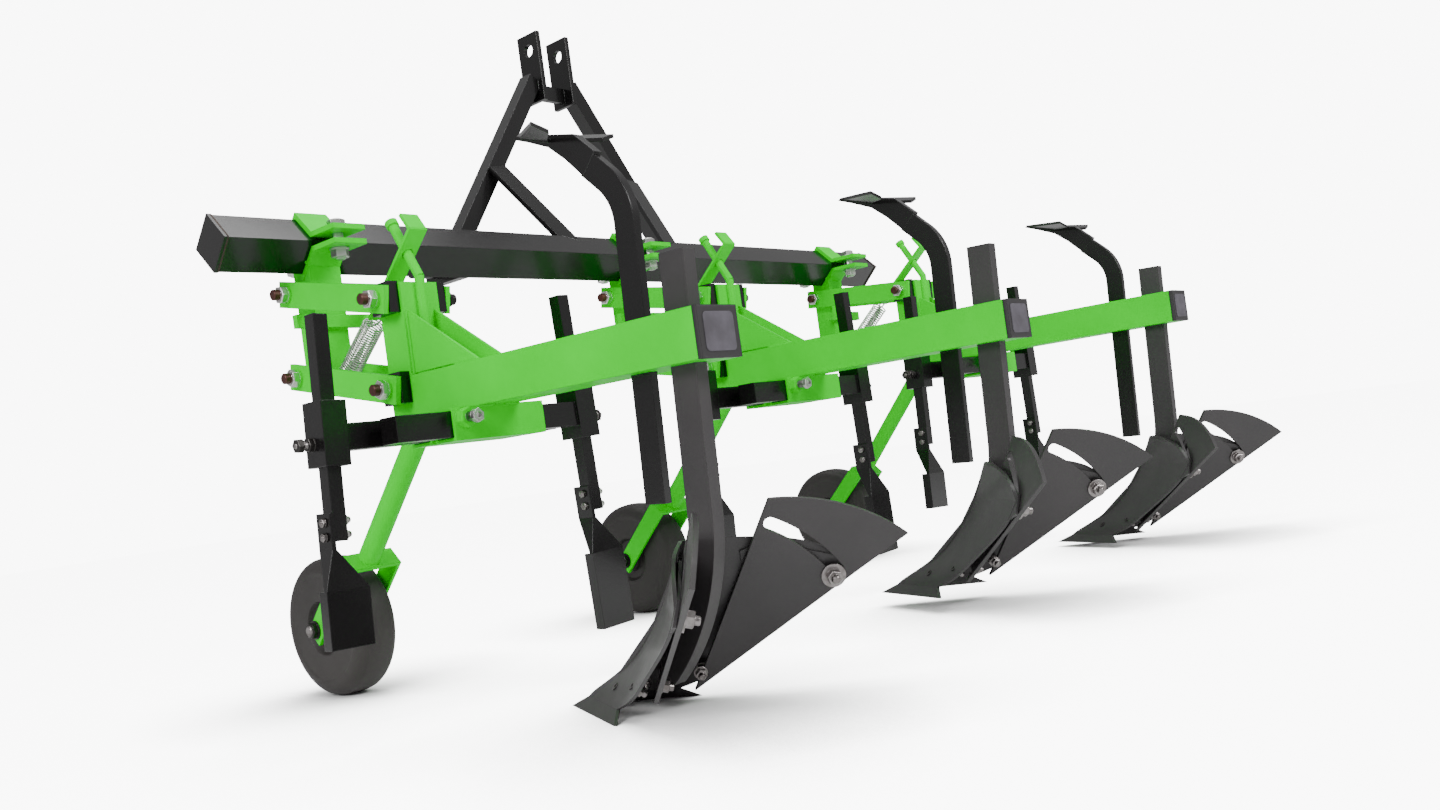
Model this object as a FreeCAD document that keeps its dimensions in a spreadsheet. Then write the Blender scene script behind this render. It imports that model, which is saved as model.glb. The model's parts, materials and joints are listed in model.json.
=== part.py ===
"""Three-row ridger: a toolbar on a three-point hitch carries three sprung row units."""
import FreeCAD, Part
import math
import os
import re
import Sketcher

Vector = FreeCAD.Vector
Rotation = FreeCAD.Rotation
Placement = FreeCAD.Placement

# Frame: X to the machine's right, Y forward, Z up, origin on the floor under the middle of the
# machine. Hitch and toolbar lengths run from the toolbar's own centre line. Inside a row unit they
# run from the pivot at the rear of its upper links.
SIZES = (
    ("row_spacing", 700),
    ("middle_right", 28),
    ("toolbar_forward", 355),
    ("toolbar_left", 7),
    ("toolbar_side", 60),
    ("toolbar_wall", 5),
    ("toolbar_length", 1720),
    ("toolbar_height", 702),
    ("mast_forward", 140),
    ("mast_pin_height", 1162),
    ("mast_foot_half", 331),
    ("mast_head_half", 50),
    ("mast_leg", 32),
    ("lug_middle", 40),
    ("lug_plate", 10),
    ("lug_wide", 58),
    ("top_pin_hole", 12.8),
    ("lower_pin_radius", 11),
    ("lower_pin_forward", 160),
    ("lower_pin_reach", 396),
    ("brace_wide", 40),
    ("hitch_arm_wide", 20),
    ("hitch_arm_high", 45),
    ("clamp_plate", 8),
    ("clamp_wide", 56),
    ("clamp_gap", 14),
    ("clamp_bolt_offset", 66),
    ("bolt_radius", 8),
    ("pivot_forward", 3),
    ("pivot_height", 627),
    ("pivot_spacing", 128),
    ("pivot_clearance", 0.1),
    ("pivot_reach", 80),
    ("post_wide", 55),
    ("post_deep", 46),
    ("link_length", 229),
    ("link_high", 40),
    ("link_plate", 8),
    ("link_inside", 49.5),
    ("link_drop", 49),
    ("column_wide", 64),
    ("column_deep", 54),
    ("column_top", 20),
    ("beam_wide", 70),
    ("beam_high", 60),
    ("beam_wall", 4),
    ("beam_drop", 113),
    ("beam_length", 539),
    ("cap_plate", 7),
    ("sleeve_side", 44),
    ("sleeve_length", 156),
    ("arm_side", 34),
    ("shank_thick", 20),
    ("shank_wide", 38),
    ("tine_thick", 12),
    ("tine_wide", 32),
    ("knife_bar", 20),
    ("knife_blade", 62),
    ("blade_plate", 6),
    ("wheel_radius", 110),
    ("wheel_wide", 70),
    ("fork_plate", 6),
    ("fork_wide", 34),
    ("stem_radius", 17),
    ("spring_radius", 17),
    ("strap_wide", 30),
    ("hook_radius", 7),
    ("slot_gap", 0.5),
)
UNITS = ("left", "middle", "right")
SIDE = {"left": -1, "middle": 0, "right": 1}
LIFT = {"left": 0, "middle": 6, "right": 26}
REAR = {"left": 13, "middle": -8, "right": -8}
TINE_TOP = {"left": 88, "middle": 44, "right": 12}
TINE_LONG = {"left": 337, "middle": 319, "right": 320}
SHANK_TOP = {"left": 536, "middle": 564, "right": 546}
BODY_BACK = {"left": 0, "middle": -15, "right": -15}
BODY_RISE = {"left": 0, "middle": 24, "right": 10}

# Places in a row unit, from its rear upper pivot: Y of the sleeves, shank and tine where they
# meet the beam, then the ends of the spring's strap and of the rod it hooks over as (Y, Z).
SLEEVES = (-105, -157)
KNIFE_X = (-220, 163)
KNIFE_TOP = (-38, -22)
KNIFE_LOW = (-455, -506)
KNIFE_END = (132, 170)
KNIFE_LEAN = (2.5, -2.2)
KNIFE_PLACES = tuple(zip(KNIFE_X, SLEEVES))
NECK_FRONT = 18
NECK_REAR = 12
SHANK_Y = -522
TINE_Y = -451
BAR_LEAN = 2
SPRING_TOP = (82, -14)
STRAP_BEND = (-42, 92)
STRAP_TIP = (-25, 116)
ROD_FOOT = (-31.5, -60)
ROD_BEND = (-31.5, 28)
ROD_TIP = (13, 108)
SHANK_FOOT = 45
SPRING_HOOK = 9
SPRING_ANCHOR = -40
# Places over the floor, Y from the toolbar's centre line.
AXLE = (68, 110)
WING_HINGE = (40, -663, 37)
# Level sections of the share and the breast: height, Y of the edge in the middle, then X and Y of
# the outer end.
SHARE = (
    (0, -464, 77, -617),
    (14, -499, 55, -603),
)
BREAST = (
    (14, -499, 55, -603),
    (41, -549, 83, -666),
    (68, -591, 104, -709),
    (95, -620, 123, -750),
    (122, -643, 139, -784),
    (150, -661, 150, -806),
)
BREAST_TOP = (
    (150, -661, 150, -806),
    (176, -675, 128, -788),
    (193, -683, 84, -752),
    (203, -688, 20, -706),
)
# The sweep's stem as (Y, Z) and one of its wings as (X, Y), from the start of the tine's bend.
SWEEP_STEM = (
    (58, 67), (86, 94), (113, 115), (149, 130), (176, 140),
    (172, 143), (113, 131), (68, 121), (35, 92),
)
SWEEP_WING = ((0, 176), (70, 72), (46, 68), (12, 108), (0, 108))
# The frog's outline as (Y, Z), up behind the breast and down inside the shank.
FROG = (
    (-562, 44), (-600, 78), (-636, 110), (-664, 150), (-685, 184),
    (-726, 184), (-711, 146), (-696, 111), (-672, 78), (-648, 52),
)

doc = FreeCAD.newDocument("Ridger")
sheet = doc.addObject("Spreadsheet::Sheet", "sizes")
for row, (alias, number) in enumerate(SIZES, start=1):
    sheet.set(f"A{row}", alias)
    sheet.set(f"B{row}", str(number))
    sheet.setAlias(f"B{row}", alias)
doc.recompute()
size = {alias: float(sheet.get(alias)) for alias, number in SIZES}
nodes = []


def bound(text):
    """The same expression, written as a document object's property needs it."""
    return re.sub(r"[a-z]\w+", lambda word: f"sizes.{word.group()}", text)


def bind(feature, name, text):
    feature.setExpression(name, bound(text))
    return float(sheet.evalExpression(bound(text)))


def block(lengths, centre, rotation=Rotation()):
    """A block about its centre, its lengths given as expressions of the sheet's cells."""
    item = doc.addObject("Part::Box", "Block")
    names = ("Length", "Width", "Height")
    half = Vector(*(bind(item, name, text) / 2 for name, text in zip(names, lengths)))
    item.Placement = Placement(Vector(*centre) - rotation.multVec(half), rotation)
    return item


def rod(radius, start, end):
    """A round bar between two points, its radius an expression."""
    run = Vector(*end) - Vector(*start)
    item = doc.addObject("Part::Cylinder", "Rod")
    bind(item, "Radius", radius)
    item.Height = run.Length
    item.Placement = Placement(Vector(*start), Rotation(Vector(0, 0, 1), run))
    return item


def cross_rod(radius, reach, forward, height):
    """A round bar along X, as far to the left as to the right."""
    return rod(radius, (-reach, forward, height), (reach, forward, height))


def fuse(*pieces):
    item = doc.addObject("Part::MultiFuse", "Joined")
    item.Shapes = list(pieces)
    return item


def gather(*pieces):
    """Pieces of one node that don't touch."""
    item = doc.addObject("Part::Compound", "Group")
    item.Links = list(pieces)
    return item


def common(first, second):
    item = doc.addObject("Part::MultiCommon", "Shared")
    item.Shapes = [first, second]
    return item


def mirrored(source):
    """The same shape on the machine's other side."""
    item = doc.addObject("Part::Mirroring", "Mirrored")
    item.Source = source
    item.Normal = Vector(1, 0, 0)
    return item


def cut(base, *tools):
    item = doc.addObject("Part::Cut", "Opened")
    item.Base = base
    item.Tool = tools[0] if len(tools) == 1 else fuse(*tools)
    return item


def padded(outline, thickness, rotation, origin):
    """A flat plate, half its thickness to each side of a closed outline of (x, y) corners."""
    body = doc.addObject("PartDesign::Body", "Plate")
    plane = next(item for item in body.Origin.OriginFeatures if item.Role == "XY_Plane")
    sketch = body.newObject("Sketcher::SketchObject", "Outline")
    sketch.AttachmentSupport = [(plane, "")]
    sketch.MapMode = "FlatFace"
    corners = [Vector(*point, 0) for point in outline]
    count = len(corners)
    for index in range(count):
        sketch.addGeometry(Part.LineSegment(corners[index], corners[(index + 1) % count]), False)
    for index, corner in enumerate(corners):
        sketch.addConstraint(Sketcher.Constraint("Coincident", index, 2, (index + 1) % count, 1))
        sketch.addConstraint(Sketcher.Constraint("DistanceX", -1, 1, index, 1, corner.x))
        sketch.addConstraint(Sketcher.Constraint("DistanceY", -1, 1, index, 1, corner.y))
    pad = body.newObject("PartDesign::Pad", "Thickness")
    pad.Profile = sketch
    pad.Midplane = True
    bind(pad, "Length", thickness)
    body.Tip = pad
    body.Placement = Placement(Vector(*origin), rotation)
    return body


# Two ways a plate stands: its outline's x along Y and its y up, or its x along X and its y up.
FORE_AND_AFT = Rotation(Vector(1, 1, 1), 120)
ACROSS = Rotation(Vector(1, 0, 0), 90)


def finish(feature, label, position=(0, 0, 0), rotation=Rotation()):
    """Names a sub-part and sets where it stands."""
    feature.Label = label
    feature.Placement = Placement(Vector(*position), rotation)
    nodes.append(feature)


def formed(label, shape, position, rotation=Rotation()):
    """A sub-part whose shape is worked out directly from the sheet's sizes."""
    item = doc.addObject("Part::Feature", "Formed")
    item.Shape = shape
    finish(item, label, position, rotation)


def lean(angle):
    return Rotation(Vector(1, 0, 0), angle)


def toolbar():
    """The square tube that everything hangs on, turned onto its edge, with plates on its ends."""
    tube = block(("toolbar_length", "toolbar_side", "toolbar_side"), (0, 0, 0), lean(45))
    inside = "toolbar_side - 2 * toolbar_wall"
    bore = block(("toolbar_length + 2", inside, inside), (0, 0, 0), lean(45))
    ends = []
    for side in (-1, 1):
        place = (side * (size["toolbar_length"] + 6) / 2, 0, 0)
        ends.append(block(("6", "toolbar_side + 2", "toolbar_side + 2"), place, lean(45)))
    finish(fuse(cut(tube, bore), *ends), "toolbar", toolbar_origin() + Vector(0, 0, size["toolbar_height"]))


def toolbar_origin():
    """The floor under the middle of the toolbar."""
    return Vector(size["middle_right"] - size["toolbar_left"], size["toolbar_forward"], 0)


def bar_between(wide, thick, start, end):
    """A flat bar between two points, wide across the machine, its section given as expressions."""
    run = end - start
    turn = Rotation(Vector(0, 0, 1), run)
    item = doc.addObject("Part::Box", "Bar")
    half = Vector(bind(item, "Length", wide) / 2, bind(item, "Width", thick) / 2, 0)
    item.Height = run.Length
    item.Placement = Placement(start - turn.multVec(half), turn)
    return item


def hitch():
    """The mast of the three-point hitch, its braces and the two arms that hold the lower pins."""
    height = size["toolbar_height"]
    forward = size["mast_forward"]
    foot = size["mast_foot_half"]
    pin_top = size["mast_pin_height"]
    lug_x = size["lug_middle"]
    legs = []
    lugs = []
    braces = []
    arms = []
    for side in (-1, 1):
        low = Vector(side * foot, forward, height)
        high = Vector(side * size["mast_head_half"], forward, pin_top - 63)
        legs.append(bar_between("mast_leg", "mast_leg", low, high))
        lugs.append(block(("lug_plate", "lug_wide", "140"), (side * lug_x, forward, pin_top - 37)))
        on_leg = low + (high - low) * 0.51 - Vector(0, size["mast_leg"] / 2, 0)
        on_bar = Vector(side * 141, -12, height + 20)
        braces.append(bar_between("brace_wide", "10", on_bar, on_leg))
        arms.append(block(("hitch_arm_wide", "190", "hitch_arm_high"), (side * foot, 95, height)))
        pin_y = size["lower_pin_forward"]
        reach = side * size["lower_pin_reach"]
        arms.append(rod("lower_pin_radius", (side * foot, pin_y, height), (reach, pin_y, height)))
    tie = block(("2 * lug_middle", "12", "30"), (0, forward, pin_top - 85))
    hole = cross_rod("top_pin_hole", lug_x + 20, forward, pin_top)
    square = block(("toolbar_length", "toolbar_side", "toolbar_side"), (0, 0, height), lean(45))
    under = block(("1000", "200", "200"), (0, forward, height + size["hitch_arm_high"] / 2 - 100))
    mast = cut(fuse(*legs, *lugs, tie), hole, under)
    finish(mast, "hitch_mast", toolbar_origin())
    trimmed = [cut(brace, square, leg) for brace, leg in zip(braces, legs)]
    finish(gather(*trimmed), "hitch_braces", toolbar_origin())
    finish(cut(fuse(*arms), square), "hitch_arms", toolbar_origin())


def bracket(unit):
    """Two folded plates clamp the toolbar. Under the lower one a post holds the front pivots."""
    height = size["toolbar_height"]
    folded = "toolbar_side + 2 * clamp_plate"
    outer = block(("clamp_wide", folded, folded), (0, 0, height), lean(45))
    flange = block(("clamp_wide", "3 * clamp_bolt_offset", "clamp_gap + 2 * clamp_plate"), (0, 0, height))
    square = block(("clamp_wide + 2", "toolbar_side", "toolbar_side"), (0, 0, height), lean(45))
    gap = block(("clamp_wide + 2", "4 * clamp_bolt_offset", "clamp_gap"), (0, 0, height))
    offset = size["clamp_bolt_offset"]
    bolts = [rod("bolt_radius", (0, y, height - 28), (0, y, height + 24)) for y in (-offset, offset)]
    clamp = fuse(cut(fuse(outer, flange), square, gap), *bolts)
    upper = size["pivot_height"]
    lower = upper - size["pivot_spacing"]
    y = size["pivot_forward"]
    top = upper + 50
    low = lower - 20
    post = block(("post_wide", "post_deep", f"{top - low}"), (0, y, (top + low) / 2))
    bore = block(("post_wide - 10", "post_deep - 10", f"{top - low - 16}"), (0, y, (top + low) / 2))
    pins = [cross_rod("bolt_radius", size["pivot_reach"], y, z) for z in (upper, lower)]
    spacers = [cross_rod("bolt_radius + 6", size["link_inside"] - 0.5, y, z) for z in (upper, lower)]
    stop = block(("134", "12", "20"), (0, y - size["post_deep"] / 2 - 5.5, upper - 46))
    post = fuse(cut(post, bore, square), *pins, *spacers, stop)
    finish(fuse(clamp, post), f"bracket_{unit}", floor_origin(unit))


def link_angle(unit):
    return math.degrees(math.asin((size["link_drop"] - LIFT[unit]) / size["link_length"]))


def front_pivot(unit, level):
    """The upper pivot on the bracket at level 0, the lower one at level 1."""
    height = size["pivot_height"] - level * size["pivot_spacing"]
    return floor_origin(unit) + Vector(0, size["pivot_forward"], height)


def row_origin(unit):
    """The pivot at the rear of the upper links."""
    turn = lean(link_angle(unit))
    return front_pivot(unit, 0) + turn.multVec(Vector(0, -size["link_length"], 0))


def floor_origin(unit):
    """The floor under the toolbar, in the middle of the row unit."""
    x = size["middle_right"] + SIDE[unit] * size["row_spacing"]
    return Vector(x, size["toolbar_forward"], 0)


def body_origin(unit):
    """The floor that the ridger body's places are measured from."""
    return floor_origin(unit) + Vector(0, REAR[unit] + BODY_BACK[unit], BODY_RISE[unit])


def axle_centre(unit):
    return floor_origin(unit) + Vector(0, AXLE[0], AXLE[1])


def links(unit, level, label):
    """Two flat bars, left and right of the pivots, at one level of the parallelogram."""
    length = size["link_length"]
    bars = []
    for side in (-1, 1):
        x = side * (size["link_inside"] + size["link_plate"] / 2)
        bars.append(block(("link_plate", "link_length + 44", "link_high"), (x, -length / 2, 0)))
    holes = [cross_rod("bolt_radius + pivot_clearance", 60, y, 0) for y in (0, -length)]
    parts = cut(gather(*bars), *holes)
    if level:
        parts = fuse(parts, cross_rod("5", size["link_inside"] + 2, SPRING_ANCHOR, 0))
    finish(parts, f"{label}_{unit}", front_pivot(unit, level), lean(link_angle(unit)))


def hook_rod():
    """The round rod up the rear of the column, bent forward over its top, with a knob on its end."""
    points = [Vector(0, *place) for place in (ROD_FOOT, ROD_BEND, ROD_TIP)]
    along = (points[2] - points[1]).normalize()
    upright = rod("hook_radius", points[0], points[1])
    leaning = rod("hook_radius", points[1] - along * 2, points[2])
    return [upright, leaning, rod("hook_radius + 2.5", points[2], points[2] + along * 9)]


def beam(unit):
    """The column with the rear pivots, the beam behind it and the two sleeves under the beam."""
    back = -size["column_deep"] / 2
    beam_top = -size["beam_drop"]
    beam_low = beam_top - size["beam_high"]
    tall = "column_top + beam_drop + beam_high"
    middle_z = (size["column_top"] + beam_low) / 2
    column = block(("column_wide", "column_deep", tall), (0, 0, middle_z))
    bore = block(("column_wide - 10", "column_deep - 10", f"{tall} - 10"), (0, 0, middle_z))
    length = size["beam_length"] - REAR[unit]
    place = (0, back - length / 2, (beam_top + beam_low) / 2)
    tube = block(("beam_wide", f"{length}", "beam_high"), place)
    inside = block(("beam_wide - 2 * beam_wall", f"{length + 2}", "beam_high - 2 * beam_wall"), place)
    gussets = []
    for side in (-1, 1):
        low = beam_top - 1
        outline = ((back + 1, -19), (back - 145, low), (back - 98, low), (back - 88, low + 4), (back + 1, low + 4))
        gussets.append(padded(outline, "5", FORE_AND_AFT, (side * 24, 0, 0)))
    sleeves = []
    bores = []
    for y in SLEEVES:
        centre = (0, y + REAR[unit], beam_low - size["sleeve_side"] / 2)
        sleeves.append(block(("sleeve_length", "sleeve_side", "sleeve_side"), centre))
        hollow = "arm_side + 2 * slot_gap"
        bores.append(block(("sleeve_length + 2", hollow, hollow), centre))
    slots = []
    for name, y in (("shank", SHANK_Y), ("tine", TINE_Y)):
        wide = (f"{name}_thick + 2 * slot_gap", f"{name}_wide + 2 * slot_gap", "beam_high + 60")
        slots.append(block(wide, (0, y + REAR[unit], place[2]), lean(BAR_LEAN)))
    pins = [cross_rod("bolt_radius", size["pivot_reach"], 0, z) for z in (0, -size["pivot_spacing"])]
    body = fuse(cut(column, bore), cut(tube, inside), *gussets, *sleeves, *hook_rod())
    finish(fuse(cut(body, *bores, *slots), *pins), f"beam_{unit}", row_origin(unit))


def pivot_blocks(unit):
    """Black blocks that fill the room between the column and the links at each rear pivot."""
    inner = size["column_wide"] / 2
    outer = size["link_inside"] - 0.5
    blocks = []
    for z in (0, -size["pivot_spacing"]):
        hole = cross_rod("bolt_radius", 80, 0, z)
        for side in (-1, 1):
            cheek = block((f"{outer - inner}", "44", "44"), (side * (inner + outer) / 2, 0, z))
            blocks.append(cut(cheek, hole))
    finish(gather(*blocks), f"pivot_blocks_{unit}", row_origin(unit))


def beam_cap(unit):
    """The plug that closes the rear end of the beam."""
    y = REAR[unit] - size["column_deep"] / 2 - size["beam_length"]
    z = -size["beam_drop"] - size["beam_high"] / 2
    face = block(("beam_wide", "cap_plate", "beam_high"), (0, y - size["cap_plate"] / 2, z))
    inside = "beam_wall * 2 + 1"
    plug = block((f"beam_wide - ({inside})", "14", f"beam_high - ({inside})"), (0, y + 7, z))
    finish(fuse(face, plug), f"beam_cap_{unit}", row_origin(unit))


def spring(unit):
    """The coil spring that pulls the row unit down, as its closed outer form."""
    start = Vector(0, *SPRING_TOP)
    anchor = lean(link_angle(unit)).multVec(Vector(0, SPRING_ANCHOR, 0))
    run = front_pivot(unit, 1) + anchor - row_origin(unit) - start
    hook = run * (SPRING_HOOK / run.Length)
    coil = rod("spring_radius", start + hook, start + run - hook)
    finish(gather(coil), f"spring_{unit}", row_origin(unit))


def spring_strap(unit):
    """The flat strap that hangs the spring from the rod, its upper end bent forward."""
    low, bend, tip = (Vector(0, *place) for place in (SPRING_TOP, STRAP_BEND, STRAP_TIP))
    past = (bend - low).normalize() * 2
    strap = bar_between("strap_wide", "5", low, bend + past)
    lip = bar_between("strap_wide", "5", bend, tip)
    rod_low = Vector(0, *ROD_BEND)
    eye = rod("hook_radius + 1.5", rod_low, Vector(0, *ROD_TIP))
    finish(cut(fuse(strap, lip), eye), f"spring_strap_{unit}", row_origin(unit))


def arms(unit):
    """The two cross arms in the sleeves, each with an upright holder for a knife at one end."""
    z = -size["beam_drop"] - size["beam_high"] - size["sleeve_side"] / 2
    pieces = []
    for sleeve_y, holder_x, end_x, tilt in zip(SLEEVES, KNIFE_X, (150, -164), KNIFE_LEAN):
        y = sleeve_y + REAR[unit]
        low, high = sorted((holder_x, end_x))
        turn = Rotation(Vector(0, 1, 0), tilt)
        arm = block((f"{high - low}", "arm_side", "arm_side"), ((low + high) / 2, y, z))
        holder = block(("knife_bar + 16", "arm_side + 8", "82"), (holder_x, y, z + 6), turn)
        hollow = "knife_bar + 2 * slot_gap"
        eye = block((hollow, hollow, "120"), (holder_x, y, z + 6), turn)
        pieces.append(cut(fuse(arm, holder), eye))
    finish(gather(*pieces), f"side_arms_{unit}", row_origin(unit))


def knives(unit):
    """A square bar with a hoe blade, whose neck turns a quarter to lie along the bar's side."""
    level = -size["beam_drop"] - size["beam_high"] - size["sleeve_side"] / 2 + 6
    half = size["knife_blade"] / 2
    plate = size["blade_plate"]
    front = size["knife_bar"] / 2
    pieces = []
    for place, high, low, end, tilt in zip(KNIFE_PLACES, KNIFE_TOP, KNIFE_LOW, KNIFE_END, KNIFE_LEAN):
        top = high - level
        blade_low = low - LIFT[unit] - level
        bar_low = blade_low + end
        shoulder = end - 60
        bar = block(("knife_bar", "knife_bar", f"{top - bar_low}"), (0, 0, (top + bar_low) / 2))
        middle = blade_low + shoulder / 2
        blade = block(("knife_blade", "blade_plate", f"{shoulder}"), (0, -front - plate / 2, middle))
        edge = block(("5", "16", f"{shoulder}"), (2.5 - half, 3 - front, middle))
        neck = doc.addObject("Part::Wedge", "Neck")
        neck.Xmin = -half
        neck.Xmax = half
        neck.Ymin = 0
        neck.Ymax = 50
        neck.Zmin = front
        neck.Zmax = front + plate
        neck.X2min = 1 - front - plate
        neck.X2max = 1 - front
        neck.Z2min = -NECK_FRONT
        neck.Z2max = NECK_REAR
        neck.Placement = Placement(Vector(0, 0, blade_low + shoulder), lean(90))
        strap_low = blade_low + shoulder + 50
        strap_place = (1 - front - plate / 2, (NECK_FRONT - NECK_REAR) / 2, strap_low + 23)
        strap = block(("blade_plate", f"{NECK_FRONT + NECK_REAR}", "46"), strap_place)
        knife = fuse(bar, blade, edge, neck, strap)
        x, sleeve_y = place
        knife.Placement = Placement(Vector(x, sleeve_y + REAR[unit], level), Rotation(Vector(0, 1, 0), tilt))
        pieces.append(knife)
    finish(gather(*pieces), f"knives_{unit}", row_origin(unit))


def bent_bar(wide, thick, straight, radius, angle, sense):
    """A flat bar up (sense 1) or down (-1) from z = 0, then bent towards +Y by an arc."""
    half = thick / 2
    level = sense * straight
    corners = [Vector(x, y, 0) for x, y in ((-half, -wide / 2), (half, -wide / 2), (half, wide / 2), (-half, wide / 2))]
    section = Part.Face(Part.makePolygon(corners + corners[:1]))
    flat = section.extrude(Vector(0, 0, level))
    section.translate(Vector(0, 0, level))
    curve = section.revolve(Vector(0, radius, level), Vector(-sense, 0, 0), angle)
    return flat.fuse(curve).removeSplitter()


def through_beam(unit, y, level):
    """Where a leaning bar's own origin is, at a level over the pivot, and how the bar leans."""
    middle = -size["beam_drop"] - size["beam_high"] / 2
    turn = lean(BAR_LEAN)
    offset = turn.multVec(Vector(0, 0, level - middle))
    return row_origin(unit) + Vector(0, y + REAR[unit], middle) + offset, turn


def sweep():
    """A duckfoot on the top of its stem, measured from where the tine starts to bend."""
    corners = [Vector(-7, y, z) for y, z in SWEEP_STEM]
    stem = Part.Face(Part.makePolygon(corners + corners[:1])).extrude(Vector(14, 0, 0))
    wings = []
    for side in (-1, 1):
        points = [Vector(side * x, y, 140 + 0.278 * x + 0.3314 * (y - 176)) for x, y in SWEEP_WING]
        wings.append(Part.Face(Part.makePolygon(points + points[:1])).extrude(Vector(0, 0, 5)))
    return stem.fuse(wings)


def tine(unit):
    """A tine stored upside down in the beam, bent forward at the top to its sweep."""
    radius = 77
    angle = 48
    straight = TINE_LONG[unit]
    wide = size["tine_wide"]
    thick = size["tine_thick"]
    bar = bent_bar(wide, thick, straight, radius, angle, 1)
    turn = math.radians(angle)
    end = Vector(0, radius * (1 - math.cos(turn)), straight + radius * math.sin(turn))
    stub = Part.makeBox(thick, wide, 35, Vector(-thick / 2, -wide / 2, 0))
    stub.Placement = Placement(end, lean(-angle))
    foot = sweep()
    foot.translate(Vector(0, 0, straight))
    low = TINE_TOP[unit] - straight - 80
    formed(f"tine_{unit}", bar.fuse([stub, foot]).removeSplitter(), *through_beam(unit, TINE_Y, low))


def shank_bar(unit):
    """The shank's shape with its own origin at its top, and where it stands."""
    radius = 262
    angle = 46.5
    drop = SHANK_TOP[unit] - SHANK_FOOT - BODY_RISE[unit]
    straight = drop - radius * math.sin(math.radians(angle))
    bar = bent_bar(size["shank_wide"], size["shank_thick"], straight, radius, angle, -1)
    level = SHANK_TOP[unit] - row_origin(unit).z
    return bar, through_beam(unit, SHANK_Y, level)


def ridger_shank(unit):
    """The bar that carries the ridger body, straight through the beam and curved forward below."""
    bar, place = shank_bar(unit)
    formed(f"ridger_shank_{unit}", bar, *place)


def breast_side(side):
    """One half of the share and breast, each lofted through its level sections."""
    back = Vector(0, -size["blade_plate"], 0)
    halves = []
    for levels in (SHARE, BREAST, BREAST_TOP):
        sections = []
        for z, apex, end_x, end_y in levels:
            start = Vector(0, apex, z)
            end = Vector(side * end_x, end_y, z)
            sections.append(Part.makePolygon([start, end, end + back, start + back, start]))
        halves.append(Part.makeLoft(sections, True, levels is SHARE))
    return halves[0].fuse(halves[1:])


def ridger_body(unit):
    """The V-shaped share and curved breast, on a frog that fills the room up to the shank."""
    corners = [Vector(-6, y, z) for y, z in FROG]
    frog = Part.Face(Part.makePolygon(corners + corners[:1])).extrude(Vector(12, 0, 0))
    bar, (place, turn) = shank_bar(unit)
    bar.Placement = Placement(place - body_origin(unit), turn)
    halves = [breast_side(side) for side in (-1, 1)]
    body = halves[0].fuse([halves[1], frog]).cut(bar).removeSplitter()
    formed(f"ridger_body_{unit}", body, body_origin(unit))


def wings(unit):
    """Two plates hinged low behind the breast, each with a curved slot that sets its height."""
    outline = ((-12, -20), (264, 146), (300, 300), (140, 300), (99, 213))
    blank = padded(outline, "blade_plate", Rotation(), (0, 0, 0))
    disc = rod("253", (90, -41, -10), (90, -41, 10))
    ring = cut(rod("214", (0, 0, -10), (0, 0, 10)), rod("198", (0, 0, -20), (0, 0, 20)))
    sector = padded(((0, 0), (260, 166), (260, 480)), "30", Rotation(), (0, 0, 0))
    hole = rod("6", (0, 0, -10), (0, 0, 10))
    ends = [rod("8", (x, y, -10), (x, y, 10)) for x, y in ((173.6, 110.9), (98, 181.2))]
    wing = cut(common(blank, disc), common(ring, sector), hole, *ends)
    across = Vector(0.717, -0.698, 0)
    up = Vector(-0.209, -0.215, 0.954)
    wing.Placement = Placement(Vector(*WING_HINGE), Rotation(across, up, across.cross(up), "XYZ"))
    finish(gather(wing, mirrored(wing)), f"wings_{unit}", body_origin(unit))


def wheel_fork(unit):
    """A stem down from the column to a yoke whose two arms hold the wheel's axle."""
    inner = size["wheel_wide"] / 2 + 6
    plate = size["fork_plate"]
    reach = 142
    turn = lean(45)
    beyond = 14
    offset = -4
    web = block((f"{2 * inner + 2 * plate}", "fork_wide", "fork_plate"), (0, offset, reach))
    arm_size = ("fork_plate", "fork_wide", f"{reach + beyond}")
    middle = (reach - beyond) / 2
    sides = [block(arm_size, (side * (inner + plate / 2), offset, middle)) for side in (-1, 1)]
    slot = block(("200", "15", "40"), (0, 0, -20))
    joined = cut(fuse(web, *sides), slot)
    joined.Placement = Placement(Vector(), turn)
    axle = cross_rod("bolt_radius", inner + plate + 10, 0, 0)
    drop = row_origin(unit) - axle_centre(unit)
    column_low = -size["beam_drop"] - size["beam_high"]
    foot = turn.multVec(Vector(0, 0, reach - 2))
    head = (0, drop.y, drop.z + column_low)
    stem = rod("stem_radius", tuple(foot), head)
    column = block(("200", "200", "100"), (head[0], head[1], head[2] + 50))
    finish(fuse(joined, axle, cut(stem, column)), f"wheel_fork_{unit}", axle_centre(unit))


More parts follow.
